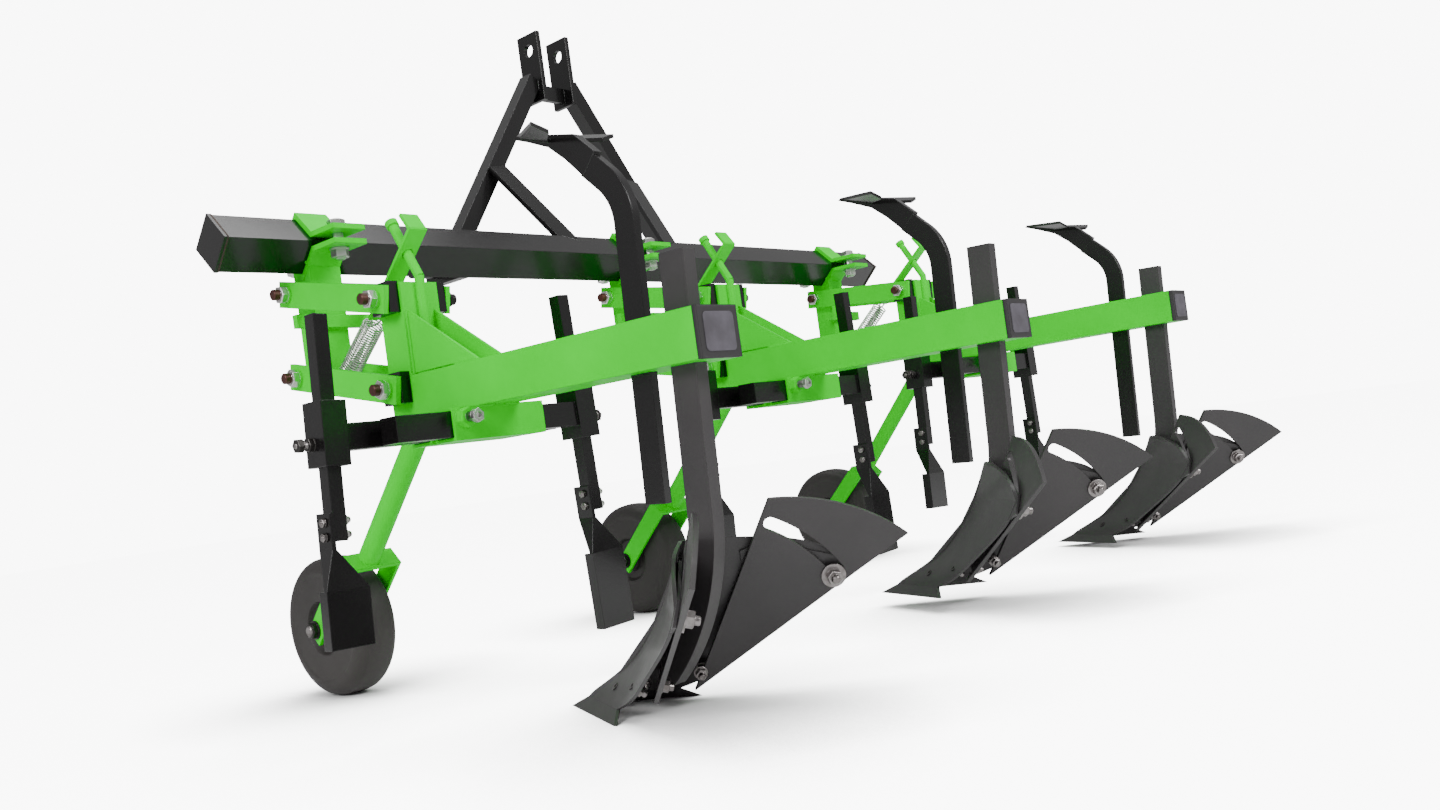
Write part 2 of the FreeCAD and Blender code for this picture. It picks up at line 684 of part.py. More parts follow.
def wheel(unit):
    """A wide wheel with a domed tread and a dished face round its hub."""
    radius = size["wheel_radius"]
    half = size["wheel_wide"] / 2
    bore = size["bolt_radius"] + size["pivot_clearance"]
    line = Part.LineSegment
    outline = ((half, bore), (half, 22), (half - 9, 24), (half - 9, 38), (half - 1, 43), (half, radius - 28))
    face = [Vector(x, 0, z) for x, z in outline]
    knuckle = Vector(half - 4, 0, radius - 9)
    shoulder = Vector(half - 14, 0, radius - 2)
    crown = Vector(0, 0, radius)
    mirror = [Vector(-point.x, 0, point.z) for point in face]
    far_knuckle = Vector(-knuckle.x, 0, knuckle.z)
    far_shoulder = Vector(-shoulder.x, 0, shoulder.z)
    edges = [line(first, second) for first, second in zip(face, face[1:])]
    edges.append(Part.Arc(face[-1], knuckle, shoulder))
    edges.append(Part.Arc(shoulder, crown, far_shoulder))
    edges.append(Part.Arc(far_shoulder, far_knuckle, mirror[-1]))
    edges += [line(first, second) for first, second in zip(mirror[::-1], mirror[-2::-1])]
    edges.append(line(mirror[0], face[0]))
    section = Part.Face(Part.Wire([edge.toShape() for edge in edges]))
    formed(f"wheel_{unit}", section.revolve(Vector(), Vector(1, 0, 0), 360), axle_centre(unit))


toolbar()
hitch()
for name in UNITS:
    bracket(name)
    links(name, 0, "upper_links")
    links(name, 1, "lower_links")
    for make in (beam, pivot_blocks, beam_cap, spring, spring_strap, arms, knives, tine,
                 ridger_shank, ridger_body, wings, wheel_fork, wheel):
        make(name)
doc.recompute()

for item in doc.Objects:
    if "Invalid" in item.State or "Error" in item.State:
        inputs = [source.Name for source in item.OutList]
        raise RuntimeError(f"{item.Label} failed: {item.State} {inputs}")
for node in nodes:
    if node.Shape.isNull() or not node.Shape.isValid():
        raise RuntimeError(f"{node.Label} has no valid shape")
os.makedirs("parts", exist_ok=True)
for node in nodes:
    node.Shape.exportStep(f"parts/{node.Label}.step")
whole = FreeCAD.BoundBox()
for node in nodes:
    whole.add(node.Shape.BoundBox)
print(f"{len(nodes)} sub-parts, {whole.XMin:.1f} {whole.XMax:.1f} {whole.YMin:.1f} {whole.YMax:.1f}"
      f" {whole.ZMin:.1f} {whole.ZMax:.1f}")
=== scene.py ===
import json
import math

import bmesh
import bpy
from mathutils import Matrix, Vector


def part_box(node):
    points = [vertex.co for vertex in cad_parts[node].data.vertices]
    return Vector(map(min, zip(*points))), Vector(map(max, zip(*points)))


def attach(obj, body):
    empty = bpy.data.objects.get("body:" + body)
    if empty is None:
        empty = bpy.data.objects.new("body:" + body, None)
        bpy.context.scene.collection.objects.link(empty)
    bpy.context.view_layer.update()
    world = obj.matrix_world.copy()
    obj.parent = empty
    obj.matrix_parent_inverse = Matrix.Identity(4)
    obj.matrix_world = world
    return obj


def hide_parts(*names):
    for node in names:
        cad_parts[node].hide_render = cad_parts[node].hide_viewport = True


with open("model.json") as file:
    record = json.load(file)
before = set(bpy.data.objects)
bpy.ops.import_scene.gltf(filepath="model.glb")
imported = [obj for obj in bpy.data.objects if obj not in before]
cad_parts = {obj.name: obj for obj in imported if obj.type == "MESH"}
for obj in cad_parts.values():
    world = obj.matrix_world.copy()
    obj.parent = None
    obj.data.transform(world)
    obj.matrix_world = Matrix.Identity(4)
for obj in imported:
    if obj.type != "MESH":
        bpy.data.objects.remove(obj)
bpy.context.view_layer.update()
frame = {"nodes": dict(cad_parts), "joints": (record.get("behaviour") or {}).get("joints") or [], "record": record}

# Places and lengths are in metres, +X to the machine's right, +Y forward, +Z up. Sizes of
# fasteners, wires and beads are in millimetres where a function says so.
UNITS = ("left", "middle", "right")
MM = 0.001
RIGHT = Vector((1, 0, 0))
UP = Vector((0, 0, 1))
REAR = Vector((0, -1, 0))


# ---------------------------------------------------------------- places taken from the frame

JOINTS = {joint["name"]: joint for joint in frame["joints"]}


def pivot(name, unit):
    return Vector(JOINTS[f"{name}_{unit}"]["pos_m"])


def middle_of(node):
    low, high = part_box(node)
    return (low + high) / 2


TOOLBAR = middle_of("toolbar")
BEAM_REACH = 0.573      # from the rear pivots to the beam's rear end, on a unit with no shift
LINK_DROP = 0.049       # how far the upper links fall to the rear, on a unit with no lift
RIDGER_BEHIND = 0.464   # from the line that the ridging body is measured from to its front end


class Unit:
    """The named places of one row unit."""

    def __init__(self, name):
        self.name = name
        self.frame_upper = pivot("upper_link_swing", name)
        self.frame_lower = pivot("lower_link_swing", name)
        self.row_upper = pivot("row_level", name)
        drop = self.frame_lower.z - self.frame_upper.z
        self.row_lower = self.row_upper + Vector((0, 0, drop))
        self.axle = pivot("wheel_spin", name)
        self.floor = Vector((self.frame_upper.x, TOOLBAR.y, 0))
        self.row = f"row_{name}"
        low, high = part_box(f"upper_links_{name}")
        self.link_half = (high.x - low.x) / 2
        self.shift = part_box(f"beam_cap_{name}")[0].y - self.row_upper.y + BEAM_REACH
        self.lift = LINK_DROP - (self.frame_upper.z - self.row_upper.z)
        low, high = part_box(f"ridger_body_{name}")
        self.ridger = Vector((self.floor.x, high.y + RIDGER_BEHIND, low.z))

    def on_row(self, x, y, z):
        """A place on the row unit from its rear upper pivot, y with the row's own shift."""
        return self.row_upper + Vector((x, y + self.shift, z))


ROWS = {name: Unit(name) for name in UNITS}


# ---------------------------------------------------------------- shader groups

def socket(group, name, kind, default=None, output=False):
    item = group.interface.new_socket(
        name, in_out="OUTPUT" if output else "INPUT", socket_type=f"NodeSocket{kind}")
    if default is not None:
        item.default_value = default
    return item


CLOUD_FROM, CLOUD_TO = 0.35, 0.68   # the noise values between which one shade becomes the other
CLOUD_DETAIL = 4
PATCH_SCALE, PATCH_DETAIL = 14, 6
PEEL_DETAIL = 2
PEEL_DEPTH = 0.0006
EDGE_SAMPLES = 6
COAT_ROUGHNESS = 0.08


def paint_group():
    """Sprayed paint: a little cloudiness in the colour, orange peel and dust in the gloss."""
    group = bpy.data.node_groups.new("Sprayed paint", "ShaderNodeTree")
    socket(group, "Colour", "Color", (0.5, 0.5, 0.5, 1))
    socket(group, "Shade", "Color", (0.4, 0.4, 0.4, 1))
    socket(group, "Cloud Scale", "Float", 6.0)
    socket(group, "Gloss", "Float", 0.25)
    socket(group, "Dull Patch", "Float", 0.2)
    socket(group, "Peel Scale", "Float", 260.0)
    socket(group, "Colour", "Color", output=True)
    socket(group, "Roughness", "Float", output=True)
    socket(group, "Height", "Float", output=True)
    nodes = group.nodes
    link = group.links.new
    inp = nodes.new("NodeGroupInput")
    out = nodes.new("NodeGroupOutput")
    place = nodes.new("ShaderNodeTexCoord")
    cloud = nodes.new("ShaderNodeTexNoise")
    cloud.inputs["Detail"].default_value = CLOUD_DETAIL
    link(place.outputs["Object"], cloud.inputs["Vector"])
    link(inp.outputs["Cloud Scale"], cloud.inputs["Scale"])
    ramp = nodes.new("ShaderNodeMapRange")
    ramp.inputs["From Min"].default_value = CLOUD_FROM
    ramp.inputs["From Max"].default_value = CLOUD_TO
    link(cloud.outputs["Fac"], ramp.inputs["Value"])
    mix = nodes.new("ShaderNodeMix")
    mix.data_type = "RGBA"
    link(ramp.outputs["Result"], mix.inputs["Factor"])
    link(inp.outputs["Colour"], mix.inputs["A"])
    link(inp.outputs["Shade"], mix.inputs["B"])
    link(mix.outputs["Result"], out.inputs["Colour"])
    patch = nodes.new("ShaderNodeTexNoise")
    patch.inputs["Scale"].default_value = PATCH_SCALE
    patch.inputs["Detail"].default_value = PATCH_DETAIL
    link(place.outputs["Object"], patch.inputs["Vector"])
    scaled = nodes.new("ShaderNodeMath")
    scaled.operation = "MULTIPLY"
    link(patch.outputs["Fac"], scaled.inputs[0])
    link(inp.outputs["Dull Patch"], scaled.inputs[1])
    total = nodes.new("ShaderNodeMath")
    total.operation = "ADD"
    link(scaled.outputs[0], total.inputs[0])
    link(inp.outputs["Gloss"], total.inputs[1])
    link(total.outputs[0], out.inputs["Roughness"])
    peel = nodes.new("ShaderNodeTexNoise")
    peel.inputs["Detail"].default_value = PEEL_DETAIL
    link(place.outputs["Object"], peel.inputs["Vector"])
    link(inp.outputs["Peel Scale"], peel.inputs["Scale"])
    link(peel.outputs["Fac"], out.inputs["Height"])
    return group


SPRAYED = paint_group()


def finish_of(name, colour, shade, gloss, dull=0.15, metallic=0.0, coat=0.0, peel=260.0,
              bump=0.12, rounding=0.0012, cloud=6.0, specular=0.5):
    """One material: its surface group, rounded edges and relief in the normal, and its gloss.

    colour and shade are the two tints that the cloudiness runs between, gloss is the lowest
    roughness and dull what the patches add to it, and rounding is the edges' radius.
    """
    material = bpy.data.materials.new(name)
    material.use_nodes = True
    nodes = material.node_tree.nodes
    link = material.node_tree.links.new
    shader = nodes["Principled BSDF"]
    surface = nodes.new("ShaderNodeGroup")
    surface.node_tree = SPRAYED
    surface.inputs["Colour"].default_value = (*colour, 1)
    surface.inputs["Shade"].default_value = (*shade, 1)
    surface.inputs["Cloud Scale"].default_value = cloud
    surface.inputs["Gloss"].default_value = gloss
    surface.inputs["Dull Patch"].default_value = dull
    surface.inputs["Peel Scale"].default_value = peel
    link(surface.outputs["Colour"], shader.inputs["Base Color"])
    link(surface.outputs["Roughness"], shader.inputs["Roughness"])
    edge = nodes.new("ShaderNodeBevel")
    edge.samples = EDGE_SAMPLES
    edge.inputs["Radius"].default_value = rounding
    relief = nodes.new("ShaderNodeBump")
    relief.inputs["Strength"].default_value = bump
    relief.inputs["Distance"].default_value = PEEL_DEPTH
    link(surface.outputs["Height"], relief.inputs["Height"])
    link(edge.outputs["Normal"], relief.inputs["Normal"])
    link(relief.outputs["Normal"], shader.inputs["Normal"])
    shader.inputs["Metallic"].default_value = metallic
    shader.inputs["Specular IOR Level"].default_value = specular
    shader.inputs["Coat Weight"].default_value = coat
    shader.inputs["Coat Roughness"].default_value = COAT_ROUGHNESS
    return material


GREEN = finish_of("Lime green paint", (0.0, 0.74, 0.0), (0.0, 0.62, 0.0), 0.32,
                  specular=0.1, coat=0.04, rounding=0.0018)
BLACK = finish_of("Black gloss paint", (0.0030, 0.0026, 0.0028), (0.0045, 0.0040, 0.0042), 0.20,
                  dull=0.06, specular=0.42, coat=0.12, rounding=0.0018)
STEEL = finish_of("Dark rolled steel", (0.017, 0.0155, 0.0165), (0.027, 0.0235, 0.025), 0.34,
                  dull=0.2, peel=120, bump=0.2, coat=0.1)
CAP = finish_of("Black moulded plastic", (0.010, 0.009, 0.010), (0.014, 0.012, 0.014), 0.42,
                peel=500, bump=0.2, rounding=0.004)
PANEL = finish_of("Rubbed plastic", (0.075, 0.068, 0.085), (0.045, 0.040, 0.050), 0.45,
                  peel=500, bump=0.2, cloud=40)
ZINC = finish_of("Bright zinc", (0.66, 0.66, 0.64), (0.46, 0.46, 0.44), 0.20,
                 metallic=1.0, bump=0.05)
WORN = finish_of("Worn zinc", (0.30, 0.28, 0.28), (0.16, 0.145, 0.14), 0.24,
                 metallic=1.0, bump=0.15, cloud=90)
THREAD = finish_of("Brown bolt steel", (0.09, 0.025, 0.016), (0.04, 0.012, 0.010), 0.35,
                   metallic=0.5)
BOLT = finish_of("Oiled black bolt", (0.020, 0.018, 0.018), (0.035, 0.032, 0.030), 0.25,
                 metallic=0.7)
BEAD = finish_of("Brown weld", (0.050, 0.030, 0.022), (0.025, 0.016, 0.013), 0.45,
                 metallic=0.4)
RUBBER = finish_of("Wheel rubber", (0.016, 0.0135, 0.013), (0.024, 0.020, 0.019), 0.46,
                   dull=0.2, peel=60, bump=0.25, rounding=0.003)

SLOTS = {
    "green_paint": GREEN, "black_paint": BLACK, "dark_steel": STEEL,
    "black_plastic": CAP, "zinc": ZINC, "wheel_rubber": RUBBER,
}
for entry in frame["record"]["subparts"]:
    node = frame["nodes"].get(entry["node"])
    if node is None:
        continue
    node.data.materials.clear()
    node.data.materials.append(SLOTS[entry["material_slot"]])


# ---------------------------------------------------------------- geometry trees

def tree(name, inputs):
    """A geometry tree with named inputs, its input and output nodes."""
    made = bpy.data.node_groups.new(name, "GeometryNodeTree")
    made.interface.new_socket("Geometry", in_out="INPUT", socket_type="NodeSocketGeometry")
    for label, kind, default in inputs:
        socket(made, label, kind, default)
    made.interface.new_socket("Geometry", in_out="OUTPUT", socket_type="NodeSocketGeometry")
    return made, made.nodes.new("NodeGroupInput"), made.nodes.new("NodeGroupOutput")


def identifiers(made):
    """The identifier that each named input of a tree is set by."""
    return {item.name: item.identifier for item in made.interface.items_tree
            if item.item_type == "SOCKET" and item.in_out == "INPUT"}


def grown(name, base, made, values, body):
    """Runs a tree on a base mesh, keeps the result as a plain mesh and sets what it rides on."""
    carrier = bpy.data.objects.new(name + "_base", base)
    bpy.context.scene.collection.objects.link(carrier)
    modifier = carrier.modifiers.new("Grow", "NODES")
    modifier.node_group = made
    names = identifiers(made)
    for label, value in values.items():
        modifier[names[label]] = value
    bpy.context.view_layer.update()
    shape = bpy.data.meshes.new_from_object(
        carrier.evaluated_get(bpy.context.evaluated_depsgraph_get()))
    carrier.modifiers.remove(modifier)
    bpy.data.objects.remove(carrier)
    return settled(name, shape, body)


def settled(name, shape, body, smooth=35):
    """A finished mesh as a piece on its body, smooth but for edges over so many degrees."""
    shape.name = name
    piece = bpy.data.objects.new(name, shape)
    bpy.context.scene.collection.objects.link(piece)
    if smooth:
        shape.shade_smooth()
        shape.set_sharp_from_angle(angle=math.radians(smooth))
    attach(piece, body)
    return piece


WASHER_SIDES = 32
THREAD_SIDES = 24
CHAMFER_SHARE = 0.14    # the chamfer's height as a share of the hexagon's straight height
TIP_CHAMFER = 0.0015
TIP_NARROWING = 0.8


def fastener_tree():
    """A hexagon, washer and threaded tip on each point, along the point's way."""
    made, inp, out = tree("Bolt end", (
        ("Hexagon Radius", "Float", 0.014), ("Hexagon Height", "Float", 0.013),
        ("Chamfer", "Float", 0.9), ("Washer Radius", "Float", 0.016),
        ("Washer Thickness", "Float", 0.003), ("Thread Radius", "Float", 0.0083),
        ("Thread Height", "Float", 0.02), ("Hexagon Finish", "Material", None),
        ("Washer Finish", "Material", None), ("Thread Finish", "Material", None)))
    nodes = made.nodes
    link = made.links.new

    def lifted(geometry, height):
        move = nodes.new("GeometryNodeTransform")
        join = nodes.new("ShaderNodeCombineXYZ")
        link(height, join.inputs["Z"])
        link(geometry, move.inputs["Geometry"])
        link(join.outputs[0], move.inputs["Translation"])
        return move.outputs["Geometry"]

    def math_node(kind, first, second):
        item = nodes.new("ShaderNodeMath")
        item.operation = kind
        for index, value in enumerate((first, second)):
            if isinstance(value, (int, float)):
                item.inputs[index].default_value = value
            else:
                link(value, item.inputs[index])
        return item.outputs[0]

    def finished(geometry, material):
        item = nodes.new("GeometryNodeSetMaterial")
        link(geometry, item.inputs["Geometry"])
        link(inp.outputs[material], item.inputs["Material"])
        return item.outputs["Geometry"]

    hexagon = nodes.new("GeometryNodeMeshCylinder")
    hexagon.inputs["Vertices"].default_value = 6
    link(inp.outputs["Hexagon Radius"], hexagon.inputs["Radius"])
    link(inp.outputs["Hexagon Height"], hexagon.inputs["Depth"])
    rim = nodes.new("GeometryNodeExtrudeMesh")
    link(hexagon.outputs["Mesh"], rim.inputs["Mesh"])
    link(hexagon.outputs["Top"], rim.inputs["Selection"])
    link(math_node("MULTIPLY", inp.outputs["Hexagon Height"], CHAMFER_SHARE),
         rim.inputs["Offset Scale"])
    narrow = nodes.new("GeometryNodeScaleElements")
    link(rim.outputs["Mesh"], narrow.inputs["Geometry"])
    link(rim.outputs["Top"], narrow.inputs["Selection"])
    link(inp.outputs["Chamfer"], narrow.inputs["Scale"])
    half = math_node("MULTIPLY", inp.outputs["Hexagon Height"], 0.5)
    nut = lifted(narrow.outputs["Geometry"],
                 math_node("ADD", half, inp.outputs["Washer Thickness"]))

    washer = nodes.new("GeometryNodeMeshCylinder")
    washer.inputs["Vertices"].default_value = WASHER_SIDES
    link(inp.outputs["Washer Radius"], washer.inputs["Radius"])
    link(inp.outputs["Washer Thickness"], washer.inputs["Depth"])
    disc = lifted(washer.outputs["Mesh"],
                  math_node("MULTIPLY", inp.outputs["Washer Thickness"], 0.5))

    thread = nodes.new("GeometryNodeMeshCylinder")
    thread.inputs["Vertices"].default_value = THREAD_SIDES
    link(inp.outputs["Thread Radius"], thread.inputs["Radius"])
    link(inp.outputs["Thread Height"], thread.inputs["Depth"])
    point = nodes.new("GeometryNodeExtrudeMesh")
    link(thread.outputs["Mesh"], point.inputs["Mesh"])
    link(thread.outputs["Top"], point.inputs["Selection"])
    point.inputs["Offset Scale"].default_value = TIP_CHAMFER
    taper = nodes.new("GeometryNodeScaleElements")
    link(point.outputs["Mesh"], taper.inputs["Geometry"])
    link(point.outputs["Top"], taper.inputs["Selection"])
    taper.inputs["Scale"].default_value = TIP_NARROWING
    stud = lifted(taper.outputs["Geometry"],
                  math_node("MULTIPLY", inp.outputs["Thread Height"], 0.5))

    joined = nodes.new("GeometryNodeJoinGeometry")
    for part, material in ((nut, "Hexagon Finish"), (disc, "Washer Finish"),
                           (stud, "Thread Finish")):
        link(finished(part, material), joined.inputs["Geometry"])
    way = nodes.new("GeometryNodeInputNamedAttribute")
    way.data_type = "FLOAT_VECTOR"
    way.inputs["Name"].default_value = "way"
    turn = nodes.new("FunctionNodeAlignRotationToVector")
    turn.axis = "Z"
    link(way.outputs["Attribute"], turn.inputs["Vector"])
    spin = nodes.new("GeometryNodeInputNamedAttribute")
    spin.data_type = "FLOAT"
    spin.inputs["Name"].default_value = "spin"
    about = nodes.new("FunctionNodeAxisAngleToRotation")
    about.inputs["Axis"].default_value = (0, 0, 1)
    link(spin.outputs["Attribute"], about.inputs["Angle"])
    both = nodes.new("FunctionNodeRotateRotation")
    both.rotation_space = "LOCAL"
    link(turn.outputs["Rotation"], both.inputs["Rotation"])
    link(about.outputs["Rotation"], both.inputs["Rotate By"])
    place = nodes.new("GeometryNodeInstanceOnPoints")
    link(inp.outputs["Geometry"], place.inputs["Points"])
    link(joined.outputs["Geometry"], place.inputs["Instance"])
    link(both.outputs["Rotation"], place.inputs["Rotation"])
    real = nodes.new("GeometryNodeRealizeInstances")
    link(place.outputs["Instances"], real.inputs["Geometry"])
    link(real.outputs["Geometry"], out.inputs["Geometry"])
    return made


BOLT_END = fastener_tree()
FIRST_TURN, NEXT_TURN = 0.4, 0.7    # how far each hexagon in a row is turned, in radians
HEXAGON_SHARE = 0.88                # the straight share of a hexagon's height
CHAMFER_WIDTH = 0.88                # its end face as a share of its width
THREAD_CREST = 0.3                  # what the thread's radius gains over the bolt's, in mm


def points_mesh(name, places):
    """Points that carry a direction and a spin, for a tree to put a shape on."""
    mesh = bpy.data.meshes.new(name)
    mesh.from_pydata([tuple(at) for at, way in places], [], [])
    mesh.attributes.new("way", "FLOAT_VECTOR", "POINT")
    mesh.attributes.new("spin", "FLOAT", "POINT")
    for index, (at, way) in enumerate(places):
        mesh.attributes["way"].data[index].vector = Vector(way).normalized()
        mesh.attributes["spin"].data[index].value = NEXT_TURN * index + FIRST_TURN
    return mesh


def bolt_ends(name, body, places, across=24, high=13, washer=30, washer_thick=3, tip=9, thread=16,
              finish=ZINC, washer_finish=ZINC, thread_finish=THREAD, slot_name="zinc"):
    """Nuts or heads of one size on one body. Each place is a point in metres and a way out.

    across, high, washer, washer_thick, tip and thread are in millimetres: the width over the
    flats, the hexagon's height, the washer's width and thickness, how far the thread stands out
    of the hexagon, and the bolt's size.
    """
    values = {
        "Hexagon Radius": across / math.sqrt(3) * MM,
        "Hexagon Height": high * HEXAGON_SHARE * MM,
        "Chamfer": CHAMFER_WIDTH,
        "Washer Radius": washer / 2 * MM,
        "Washer Thickness": washer_thick * MM,
        "Thread Radius": (thread / 2 + THREAD_CREST) * MM,
        "Thread Height": (washer_thick + high + tip) * MM,
        "Hexagon Finish": finish,
        "Washer Finish": washer_finish,
        "Thread Finish": thread_finish,
    }
    return grown(name, points_mesh(name, places), BOLT_END, values, body)


# ---------------------------------------------------------------- pivots and clamps

CLAMP_BOLT_OUT = 0.066      # the clamp's bolts, fore and aft of the toolbar's centre line
CLAMP_FACE = 0.015          # the clamp plates' outer faces, over and under that line
CLAMP_GAP = 14              # between the plates, in mm


def pivot_ends(row):
    """Nuts on the left ends of the four pivot bolts and black heads on their right ends."""
    aside = RIGHT * row.link_half
    for body, label, ends in (("frame", "front", (row.frame_upper, row.frame_lower)),
                              (row.row, "rear", (row.row_upper, row.row_lower))):
        bolt_ends(f"{label}_pivot_nuts_{row.name}", body, [(at - aside, -RIGHT) for at in ends],
                  washer=27, washer_thick=4, high=11, tip=9, washer_finish=GREEN)
        bolt_ends(f"{label}_pivot_heads_{row.name}", body, [(at + aside, RIGHT) for at in ends],
                  high=11, tip=9, finish=BOLT, washer_finish=BOLT, thread_finish=BOLT,
                  slot_name="black_paint")


def clamp_ends(row):
    """The clamp's bolts: heads on top, bare shanks between the plates, nuts below."""
    clamp = [row.floor + Vector((0, side * CLAMP_BOLT_OUT, TOOLBAR.z)) for side in (-1, 1)]
    bolt_ends(f"clamp_heads_{row.name}", "frame", [(at + UP * CLAMP_FACE, UP) for at in clamp],
              high=10, tip=0, thread_finish=ZINC)
    bolt_ends(f"clamp_nuts_{row.name}", "frame", [(at - UP * CLAMP_FACE, -UP) for at in clamp],
              high=13, tip=1, thread_finish=ZINC)
    bolt_ends(f"clamp_shanks_{row.name}", "frame",
              [(at - UP * CLAMP_GAP / 2 * MM, UP) for at in clamp],
              across=8, high=1, washer=17, washer_thick=CLAMP_GAP, tip=-1.5)


# Each set screw: its name, its place on the row unit, the way that its head points, the width
# and height of its nut, the width of its head and its reach in mm, its finish and its slot.
SET_SCREWS = (
    ("rear_sleeve", (-0.062, -0.179, -0.188), REAR, 24, 11, 17, 25, GREEN, "green_paint"),
    ("front_sleeve", (0.062, -0.083, -0.188), -REAR, 24, 11, 17, 25, GREEN, "green_paint"),
    ("left_knife", (-0.2376, -0.098, -0.2), -RIGHT, 16, 7, 16, 16, BOLT, "black_paint"),
    ("right_knife", (0.1806, -0.157, -0.2), RIGHT, 16, 7, 16, 16, BOLT, "black_paint"),
)
SEAT = 1.5              # the ring under a set screw's nut, in mm
SEAT_EDGE = 3           # how much wider than the nut it is
HEAD_SEAT = 1.2         # the ring under the screw's head
HEAD_SEAT_SHARE = 1.05  # its width as a share of the head's
HEAD_HIGH_SHARE = 0.45
SCREW_SHARE = 0.55      # the screw's size as a share of the nut's width
SOCKET_SHARE = 0.4      # the centre mark's as a share of the head's

# The upper bolt through each blade's neck, and how far the lower one stands outward of it.
NECK_BOLTS = ((-0.2255, -0.105, -0.298, -0.001), (0.1680, -0.157, -0.311, 0.001))
NECK_BOLT_STEP = 0.018      # how far the lower one is under the upper one
NECK_NUT_FACE = 0.0095      # from the bolt's middle to the nut's seat
NECK_HEAD_FACE = 0.0145     # and to the head's
AXLE_NUT_FACE = 0.0468      # from the wheel's middle to the seats of the axle's nuts


def set_screw(row, name, place, way, across, high, head, reach, finish, slot_name):
    """A nut welded to a face and the screw that runs through it, its head standing off."""
    at = row.on_row(*place)
    bolt_ends(f"{name}_nut_{row.name}", row.row, [(at, way)], across=across, high=high,
              washer=across + SEAT_EDGE, washer_thick=SEAT, tip=reach - high - SEAT,
              thread=across * SCREW_SHARE, finish=finish, washer_finish=finish,
              thread_finish=WORN, slot_name=slot_name)
    bolt_ends(f"{name}_screw_{row.name}", row.row, [(at + way * (reach - 1) * MM, way)],
              across=head, high=head * HEAD_HIGH_SHARE, washer=head * HEAD_SEAT_SHARE,
              washer_thick=HEAD_SEAT, tip=0, thread=head * SOCKET_SHARE,
              finish=ZINC if finish is GREEN else BOLT, washer_finish=WORN, thread_finish=WORN,
              slot_name=slot_name)


def row_fasteners(row):
    """The screws that hold the cross arms and knives, and the bolts through the blades' necks."""
    for screw in SET_SCREWS:
        set_screw(row, *screw)
    nuts = []
    heads = []
    for x, y, z, drift in NECK_BOLTS:
        for step in (0, 1):
            at = row.on_row(x + drift * step, y, z - row.lift - NECK_BOLT_STEP * step)
            nuts.append((at + RIGHT * NECK_NUT_FACE, RIGHT))
            heads.append((at - RIGHT * NECK_HEAD_FACE, -RIGHT))
    bolt_ends(f"blade_nuts_{row.name}", row.row, nuts, across=12, high=6, washer=14,
              washer_thick=1.2, tip=3, thread=8, finish=ZINC, thread_finish=WORN)
    bolt_ends(f"blade_heads_{row.name}", row.row, heads, across=10, high=4, washer=12,
              washer_thick=1, tip=0, thread=5, finish=WORN, washer_finish=BOLT, thread_finish=WORN)


def axle_ends(row):
    """Black nuts and washers on the ends of the wheel's axle."""
    ends = [(row.axle + RIGHT * side * AXLE_NUT_FACE, RIGHT * side) for side in (-1, 1)]
    bolt_ends(f"axle_nuts_{row.name}", row.row, ends, across=22, high=8, washer=30,
              washer_thick=2, tip=1.5, finish=BOLT, washer_finish=BOLT, thread_finish=WORN,
              slot_name="black_paint")


for row in ROWS.values():
    pivot_ends(row)
    clamp_ends(row)
    row_fasteners(row)
    axle_ends(row)


# ---------------------------------------------------------------- ridging bodies

# Places on the right half of a ridging body, from Unit.ridger; the left half is its mirror image.
WING_HINGE = Vector((0.040, -0.663, 0.037))
WING_ACROSS = Vector((0.717, -0.698, 0)).normalized()
WING_FACE = WING_ACROSS.cross(Vector((-0.209, -0.215, 0.954))).normalized()
WING_UP = WING_FACE.cross(WING_ACROSS)
BREAST_FACE = Vector((0.557, 0.395, 0.730)).normalized()
PLOUGH_BOLTS = (Vector((0.0258, -0.5772, 0.0355)), Vector((0.0630, -0.6440, 0.0465)))
WING_BOLT = (0.168, 0.105)      # out and up from the hinge, in the wing's plane
HINGE_BOLT = (-0.003, 0.003)
WING_BACK = 0.003               # from the wing's plane to the seats of its nuts
EAR_BACK = -0.0036              # from that plane to the ear's rear face, in front of the wing
EAR_THICK = 0.004
PLOUGH_HEAD_SUNK = 0.0006       # how far the heads lie under the breast's face
PLOUGH_NUT_SEAT = 0.0065        # how far behind that face the nuts sit


def to_side(vector, side):
    """The same vector for the left side, -1, or the right side, 1."""
    return Vector((vector.x * side, vector.y, vector.z))


def on_wing(row, side, x, y, off):
    """A place on a wing by its distance out and up from the hinge, off its plane to the rear."""
    local = WING_HINGE + WING_ACROSS * x + WING_UP * y + WING_FACE * off
    return row.ridger + to_side(local, side)


def plate(name, corners, through, body, finish):
    """A flat plate between a loop of corners and the same loop moved through its thickness."""
    count = len(corners)
    points = [tuple(at) for at in corners] + [tuple(at + through) for at in corners]
    faces = [tuple(range(count)), tuple(reversed(range(count, 2 * count)))]
    faces += [(index, index + count, (index + 1) % count + count, (index + 1) % count)
              for index in range(count)]
    mesh = bpy.data.meshes.new(name)
    mesh.from_pydata(points, [], faces)
    mesh.materials.append(finish)
    outward(mesh)
    return settled(name, mesh, body, smooth=0)


def outward(mesh):
    """Turns every face of a closed mesh outwards."""
    shape = bmesh.new()
    shape.from_mesh(mesh)
    bmesh.ops.recalc_face_normals(shape, faces=shape.faces)
    shape.to_mesh(mesh)
    shape.free()


# The outline of the breast's ear behind the wing's slot, in the wing's plane.
EAR = ((0.060, 0.150), (0.099, 0.158), (0.112, 0.151), (0.125, 0.145), (0.152, 0.135),
       (0.182, 0.124), (0.184, 0.096), (0.150, 0.084), (0.060, 0.100))


